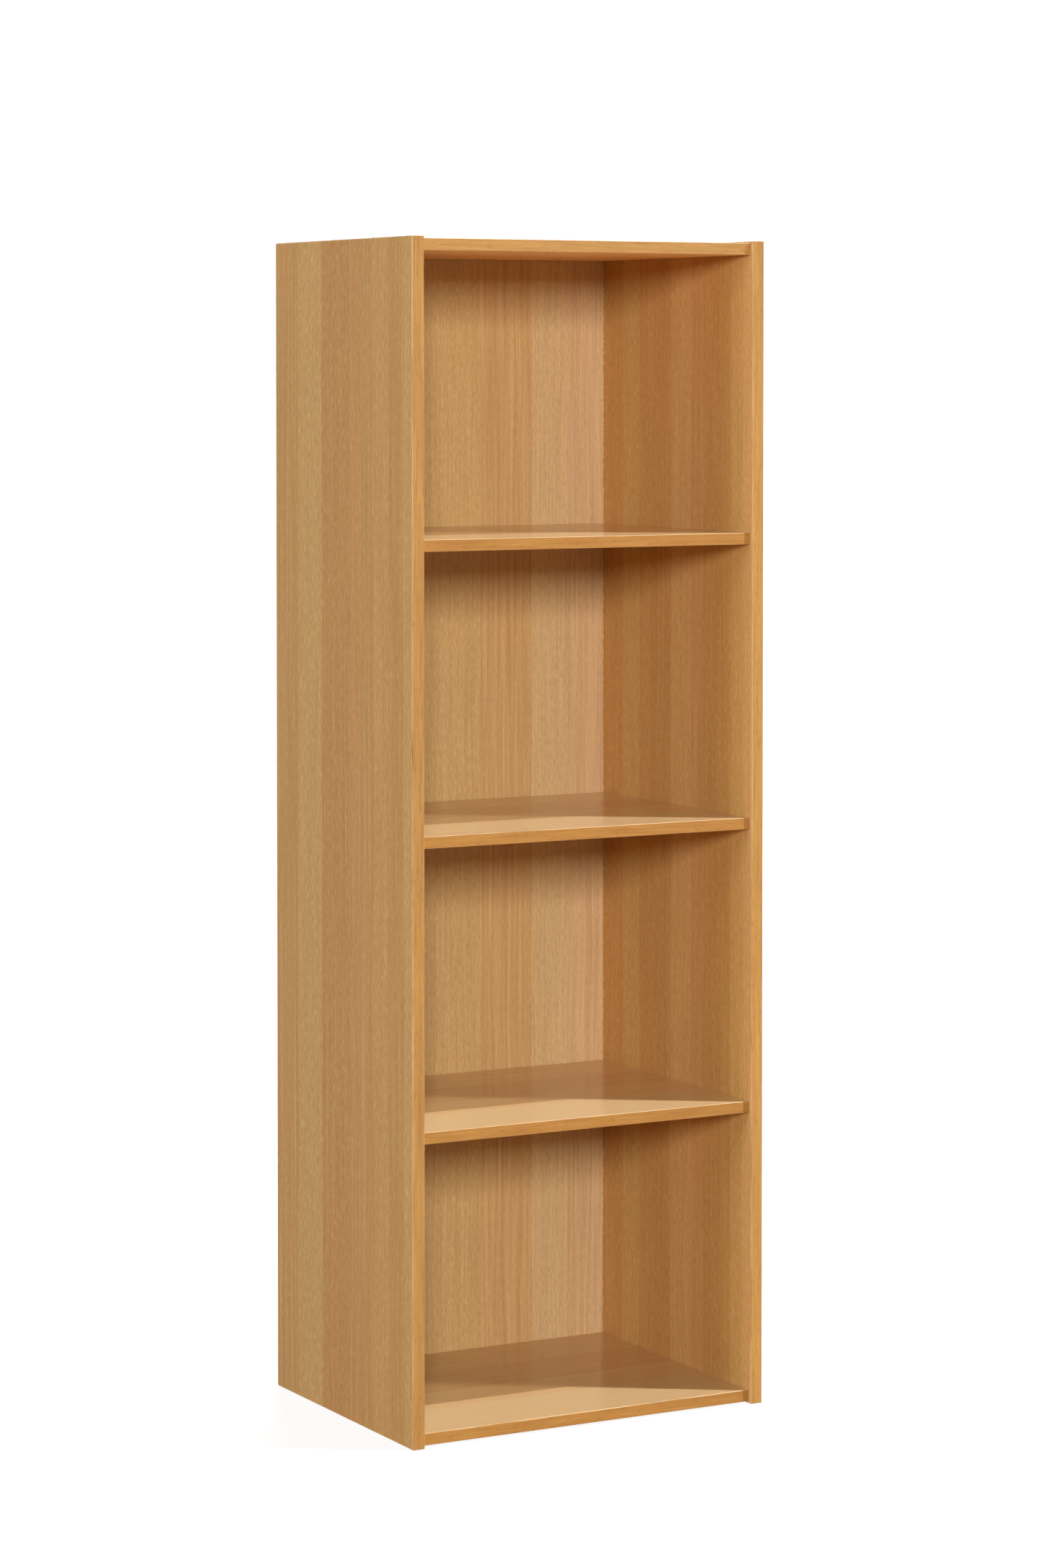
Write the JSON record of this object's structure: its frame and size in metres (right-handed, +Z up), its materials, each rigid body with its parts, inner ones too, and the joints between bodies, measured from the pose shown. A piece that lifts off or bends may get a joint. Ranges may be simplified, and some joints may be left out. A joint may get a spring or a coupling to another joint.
{
  "type": "bookcase with adjustable shelves",
  "caption": "Tall narrow open bookcase in beech-look board: sides, top, bottom and thin back, with removable shelves that slide forward off concealed wire supports.",
  "frame": {"origin": "on the floor, under the middle of the bookcase's width and depth", "axes": "+X to the right seen from the front, +Y to the back, +Z up"},
  "size_m": [0.406, 0.31, 1.2],
  "materials": {
    "side_board": "satin beech-look foil, grain upright, on particleboard",
    "shelf_board": "satin beech-look foil, grain along the width, on particleboard",
    "back_board": "satin beech-look print on thin hardboard, plain brown behind",
    "edge_band": "satin orange-beech edge band",
    "steel": "bright zinc-plated steel",
    "zinc": "dull die-cast zinc",
    "dowel_wood": "plain turned beech"
  },
  "bodies": {
    "carcass": {"left_side_panel": "side_board", "right_side_panel": "side_board", "top_panel": "shelf_board", "bottom_panel": "shelf_board", "back_panel": "back_board", "left_side_edge_band": "edge_band", "right_side_edge_band": "edge_band", "top_edge_band": "edge_band", "bottom_edge_band": "edge_band", "cam_lock_top_left_front": "zinc", "cam_bolt_top_left_front": "steel", "dowel_top_left_front": "dowel_wood", "cam_lock_top_left_rear": "zinc", "cam_bolt_top_left_rear": "steel", "dowel_top_left_rear": "dowel_wood", "cam_lock_top_right_front": "zinc", "cam_bolt_top_right_front": "steel", "dowel_top_right_front": "dowel_wood", "cam_lock_top_right_rear": "zinc", "cam_bolt_top_right_rear": "steel", "dowel_top_right_rear": "dowel_wood", "cam_lock_bottom_left_front": "zinc", "cam_bolt_bottom_left_front": "steel", "dowel_bottom_left_front": "dowel_wood", "cam_lock_bottom_left_rear": "zinc", "cam_bolt_bottom_left_rear": "steel", "dowel_bottom_left_rear": "dowel_wood", "cam_lock_bottom_right_front": "zinc", "cam_bolt_bottom_right_front": "steel", "dowel_bottom_right_front": "dowel_wood", "cam_lock_bottom_right_rear": "zinc", "cam_bolt_bottom_right_rear": "steel", "dowel_bottom_right_rear": "dowel_wood", "back_nail_left_1": "steel", "back_nail_left_2": "steel", "back_nail_left_3": "steel", "back_nail_left_4": "steel", "back_nail_left_5": "steel", "back_nail_right_1": "steel", "back_nail_right_2": "steel", "back_nail_right_3": "steel", "back_nail_right_4": "steel", "back_nail_right_5": "steel", "back_nail_top_1": "steel", "back_nail_top_2": "steel", "back_nail_bottom_1": "steel", "back_nail_bottom_2": "steel", "lower_shelf_wire_left": "steel", "lower_shelf_wire_right": "steel", "middle_shelf_wire_left": "steel", "middle_shelf_wire_right": "steel", "upper_shelf_wire_left": "steel", "upper_shelf_wire_right": "steel"},
    "lower_shelf_body": {"lower_shelf": "shelf_board", "lower_shelf_edge_band": "edge_band"},
    "middle_shelf_body": {"middle_shelf": "shelf_board", "middle_shelf_edge_band": "edge_band"},
    "upper_shelf_body": {"upper_shelf": "shelf_board", "upper_shelf_edge_band": "edge_band"}
  },
  "joints": [
    {"name": "lower_shelf_slide", "type": "slide", "parent": "carcass", "child": "lower_shelf_body", "axis": [0, -1, 0], "range_m": [0, 0.255]},
    {"name": "middle_shelf_slide", "type": "slide", "parent": "carcass", "child": "middle_shelf_body", "axis": [0, -1, 0], "range_m": [0, 0.255]},
    {"name": "upper_shelf_slide", "type": "slide", "parent": "carcass", "child": "upper_shelf_body", "axis": [0, -1, 0], "range_m": [0, 0.255]}
  ]
}
